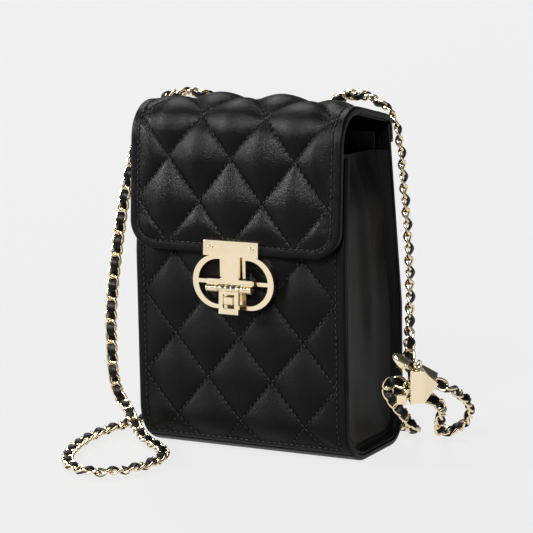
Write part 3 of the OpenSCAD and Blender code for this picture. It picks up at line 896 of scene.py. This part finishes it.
def sideEdge(y, z, inset):
    # distance inside the side view's outline
    fr, br = bodyShape["frontRadius"], bodyShape["backRadius"]
    d = min(y - frontWall(max(z, fr), inset), backWall(max(z, br), inset) - y, z - inset)
    if z < fr and y < bodyShape["frontY"] + fr:
        d = min(d, fr - inset - math.hypot(y - bodyShape["frontY"] - fr, z - fr))
    if z < br and y > bodyShape["backY"] - br:
        d = min(d, br - inset - math.hypot(y - bodyShape["backY"] + br, z - br))
    return max(d, 0)

gussetFacts = {
    "out": 54.2, "flange": 2.6, "flangeWide": 2.4, "dish": 2.1, "crease": 0.9, "bulge": 0.8, "low": 2.9,
    "high": 149, "fold": 5.5, "foldFrom": 120, "foldOver": 29, "thick": 1.3, "inset": 2.9,
    "ridges": [(0.9, 0.45), (4.2, 0.9)],  # distance from the rim, height
}

def gussetX(y, z, facts):
    d = sideEdge(y, z, facts["inset"])
    x = facts["out"] + facts["flange"] * (1 - step01((d - 1.2) / facts["flangeWide"]))
    for at, high in facts["ridges"]:
        x += high * math.exp(-((d - at) / 0.55) ** 2)
    x -= facts["dish"] * step01((d - 2) / 16)
    middle = -10 + 14 * (1 - z / 150)
    wide = 4.5 + 7 * (1 - z / 150)
    x -= facts["crease"] * math.exp(-((y - middle) / wide) ** 2) * step01((z - 10) / 60) * step01(d / 6)
    x += facts["bulge"] * math.exp(-((y - middle - 10) / 6) ** 2) * step01((z - 10) / 80) * step01(d / 6)
    x -= facts["fold"] * step01((z - facts["foldFrom"]) / facts["foldOver"]) * step01(d / 7)
    return x + 0.25 * ripple(y, z, 5.1, 0.05) * step01(d / 5)

def sideSurface(facts, side, back):
    # from the front wall to the back wall, back millimetres in from the outside
    def place(c, z):
        low, high = frontWall(z, facts["inset"]), backWall(z, facts["inset"])
        y = low + (high - low) * c
        return (side * (gussetX(y, z, facts) - back), y, z)
    return place

def gusset(name, node, side):
    facts = gussetFacts
    fine = (0, 0.3, 0.6, 0.9, 1.2, 1.5, 1.9, 2.3, 2.7, 3.1, 3.5, 3.8, 4.1, 4.4, 4.7, 5.1, 5.6, 6.3)
    columns = [c / 60 for c in spaced(0, 60, 1.5, fine)]
    rows = [facts["low"] + r for r in (0, 0.06, 0.15)] + spaced(facts["low"], facts["high"], 1.6, fine)[1:]
    outer, inner = sideSurface(facts, side, 0), sideSurface(facts, side, facts["thick"])
    return finished(shell(columns, rows, outer, inner), name, smoothLeather, "bag", [node])

gusset("gussetLeft", "gusset_left", -1)
gusset("gussetRight", "gusset_right", 1)

def baseLine():
    seam = 5.0
    fr, br = bodyShape["frontRadius"], bodyShape["backRadius"]
    fy, by = bodyShape["frontY"] + fr, bodyShape["backY"] - br
    a, b = math.acos((fr - seam) / fr), math.acos((br - seam) / br)
    points = [(fy - fr * math.sin(a * (1 - k / 12)), fr - fr * math.cos(a * (1 - k / 12))) for k in range(13)]
    points += [(by + br * math.sin(b * k / 12), br - br * math.cos(b * k / 12)) for k in range(13)]
    return smoothLine(points)

def basePanel():
    line, long = baseLine()
    def at(lift):
        def place(x, s):
            y, z, ty, tz = line(s)
            edge = panelEdge(x, s, long)
            push = lift + (rollOff(edge, 1.4) if lift == 0 else 0)
            return (x, y + tz * push, z - ty * push)
        return place
    return finished(shell(spaced(-half, half, 2.4), spaced(0, long, 2.0), at(0), at(-2.5)), "basePanel",
                    smoothLeather, "bag", ["base_panel"])

basePanel()

liningFacts = {"half": 50.6, "inset": 4.4, "thick": 0.6, "low": 5.4, "frontTop": 146, "backTop": 158}

def liningWall(name, node, wall, top, outward):
    facts = liningFacts
    line, long = upTheWall(lambda z: wall(z, facts["inset"]), facts["low"], facts[top])
    def at(lift):
        def place(x, s):
            y, z, ty, tz = line(s)
            hem = 0.35 * step01(1 - (long - s - 5) / 1.2) if lift < 0 else 0
            push = lift - hem + 0.35 * ripple(x, s, outward * 7.7, 0.06) * step01(min(s, long - s) / 10)
            return (x, y - tz * outward * push, z + ty * outward * push)
        return place
    columns, rows = spaced(-facts["half"], facts["half"], 2.6), spaced(0, long, 2.6)
    piece = finished(shell(columns, rows, at(0), at(-facts["thick"])), name, liningCloth, "bag",
                     [node])
    return piece, long

liningFront, liningFrontLong = liningWall("liningFront", "lining_front", frontWall, "frontTop", 1)
liningBack, liningBackLong = liningWall("liningBack", "lining_back", backWall, "backTop", -1)

liningFloorFacts = {"half": 50, "front": -14, "back": 20, "top": 4.0, "under": 3.3}

def liningFloor():
    facts = liningFloorFacts
    def at(z):
        return lambda x, y: (x, y, z + 0.15 * ripple(x, y, 2.2, 0.08))
    columns, rows = spaced(-facts["half"], facts["half"], 3), spaced(facts["front"], facts["back"], 3)
    return finished(shell(columns, rows, at(facts["top"]), at(facts["under"])), "liningBase", liningCloth,
                    "bag", ["lining_base"])

liningBase = liningFloor()

liningSideFacts = dict(gussetFacts, inset=4.6, out=51.3, flange=0.0, dish=1.6, crease=0.8, fold=6.0,
                       ridges=[], low=4.7, high=146, thick=0.6)

def liningSide(name, node, side):
    facts = liningSideFacts
    outer, inner = sideSurface(facts, side, 0), sideSurface(facts, side, facts["thick"])
    columns, rows = [c / 60 for c in spaced(0, 60, 2.6)], spaced(facts["low"], facts["high"], 2.6)
    return finished(shell(columns, rows, outer, inner), name, liningCloth, "bag", [node])

liningLeft = liningSide("liningLeft", "lining_left", -1)
liningRight = liningSide("liningRight", "lining_right", 1)

pocketFacts = {"half": 44, "low": 58, "high": 122, "gap": 2.0, "thick": 0.6}

def cardPocket():
    facts = pocketFacts
    def at(lift):
        def place(x, z):
            edge = min(facts["half"] - abs(x), z - facts["low"])
            belly = facts["gap"] * step01(edge / 5) + 0.8 * step01(edge / 30)
            hem = 0.3 * step01(1 - (facts["high"] - z - 7) / 1.0) if lift else 0
            return (x, backWall(z) - 5.7 - belly - lift - hem - 0.2 * ripple(x, z, 1.7, 0.05), z)
        return place
    columns, rows = spaced(-facts["half"], facts["half"], 2.2), spaced(facts["low"], facts["high"], 2.2)
    pocket = finished(shell(columns, rows, at(0), at(facts["thick"])), "cardPocket", liningCloth, "bag",
                      ["card_pocket"])
    threads = bmesh.new()
    def onPocket(x, z, lift):
        x0, y0, z0 = at(facts["thick"])(x, z)
        return (x0, y0 - lift, z0)
    h = facts["half"] - 1.5
    for start, end in (((-h, facts["high"] - 6), (h, facts["high"] - 6)),
                       ((-h, facts["low"] + 1.5), (h, facts["low"] + 1.5)),
                       ((-h, facts["low"] + 2), (-h, facts["high"] - 1)),
                       ((h, facts["low"] + 2), (h, facts["high"] - 1))):
        stitchOn(threads, onPocket, straightDashes(start, end), 0.05)
    finished(threads, "pocketStitches", threadBlack, "bag", turnOut=False)
    return pocket

cardPocketSheet = cardPocket()
print("gussets, base and lining ready")

# metal: each fitting's edges are eased and polished

bodyOf = {n: body for body, names in frame["record"]["behaviour"]["bodies"].items() for n in names}

def plainName(node):
    first, *rest = node.split("_")
    return first + "".join(w.capitalize() for w in rest)

def easedCopy(node, ease, material, segments=2):
    bm = bmesh.new()
    bm.from_mesh(frame["nodes"][node].data)
    for layer in list(bm.loops.layers.uv.values()):
        bm.loops.layers.uv.remove(layer)
    bmesh.ops.remove_doubles(bm, verts=bm.verts[:], dist=2e-6)
    if ease:
        bmesh.ops.dissolve_limit(bm, angle_limit=math.radians(1.5), verts=bm.verts[:], edges=bm.edges[:])
        sharp = [e for e in bm.edges if len(e.link_faces) == 2 and e.calc_face_angle(0) > math.radians(28)]
        bmesh.ops.bevel(bm, geom=sharp, offset=ease * mm, offset_type="OFFSET", segments=segments,
                        profile=0.5, affect="EDGES", clamp_overlap=True, material=-1)
    piece = finished(bm, plainName(node), material, bodyOf[node], [node],
                     angle=40 if ease else 32, turnOut=False)
    if ease:
        even = piece.modifiers.new("evenNormals", "WEIGHTED_NORMAL")
        even.keep_sharp = True
    return piece

# how far each fitting's edges are eased, in millimetres; 0 leaves round wires and posts as they are
metalFacts = {
    "clasp_ring": 0.6, "catch_block": 0.3, "ring_posts": 0, "clasp_plate": 0.32, "plate_screws": 0.12,
    "clasp_tongue": 0.3, "clasp_pin": 0.15, "d_ring_left": 0, "d_ring_right": 0, "end_link_left": 0,
    "end_link_right": 0, "lug_rivets": 0.22, "slider_sleeves": 0.35, "slider_bead": 0.7,
    "slider_bell": 0.3, "slider_cube": 0.55, "slider_loop": 0,
}

metal = {node: easedCopy(node, ease, lightGold) for node, ease in metalFacts.items()}

ribFacts = {"axisY": -41.8112, "axisZ": 85.9613, "radius": 1.62, "wire": 0.36,
            "plate": (7.2, 8.9, 10.6, 12.0), "tongue": (1.5, 4.5)}

def barrelRibs(name, body, places):
    # rolled ribs around the clasp's barrel, the same on both sides of its middle
    y, z = ribFacts["axisY"] * mm, ribFacts["axisZ"] * mm
    bm = bmesh.new()
    for x in [side * p * mm for side in (-1, 1) for p in places]:
        start = Matrix.Translation((x, y + ribFacts["radius"] * mm, z))
        ring = bmesh.ops.create_circle(bm, segments=8, radius=ribFacts["wire"] * mm, matrix=start)["verts"]
        edges = list({e for v in ring for e in v.link_edges})
        bmesh.ops.spin(bm, geom=edges, cent=(x, y, z), axis=(1, 0, 0), dvec=(0, 0, 0),
                       angle=2 * math.pi, steps=24, use_merge=True)
    return finished(bm, name, lightGold, body, angle=70)

barrelRibs("plateRibs", "flap", ribFacts["plate"])
barrelRibs("tongueRibs", "tongue", ribFacts["tongue"])
for node in ("lug_left", "lug_right"):
    easedCopy(node, 0.45, smoothLeather, 3)
for node, finish in (("ring_backing", backingSteel), ("plate_backing", backingSteel),
                     ("base_board", boardCover)):
    data = frame["nodes"][node].data
    data.materials.clear()
    data.materials.append(finish)
print("fittings ready")

# floor

def addFloor():
    bm = bmesh.new()
    bmesh.ops.create_grid(bm, x_segments=1, y_segments=1, size=25)
    floor = placed("studioFloor", meshOf(bm, "studioFloor"))
    material = bpy.data.materials.new("palePaper")
    material.use_nodes = True
    shader = material.node_tree.nodes["Principled BSDF"]
    shader.inputs["Base Color"].default_value = (*studio["floor"], 1)
    shader.inputs["Roughness"].default_value = 0.7
    shader.inputs["Specular IOR Level"].default_value = 0.1
    shader.inputs["Emission Color"].default_value = (1, 1, 1, 1)
    shader.inputs["Emission Strength"].default_value = studio["floorGlow"]
    floor.data.materials.append(material)

addFloor()
print("all pieces ready")
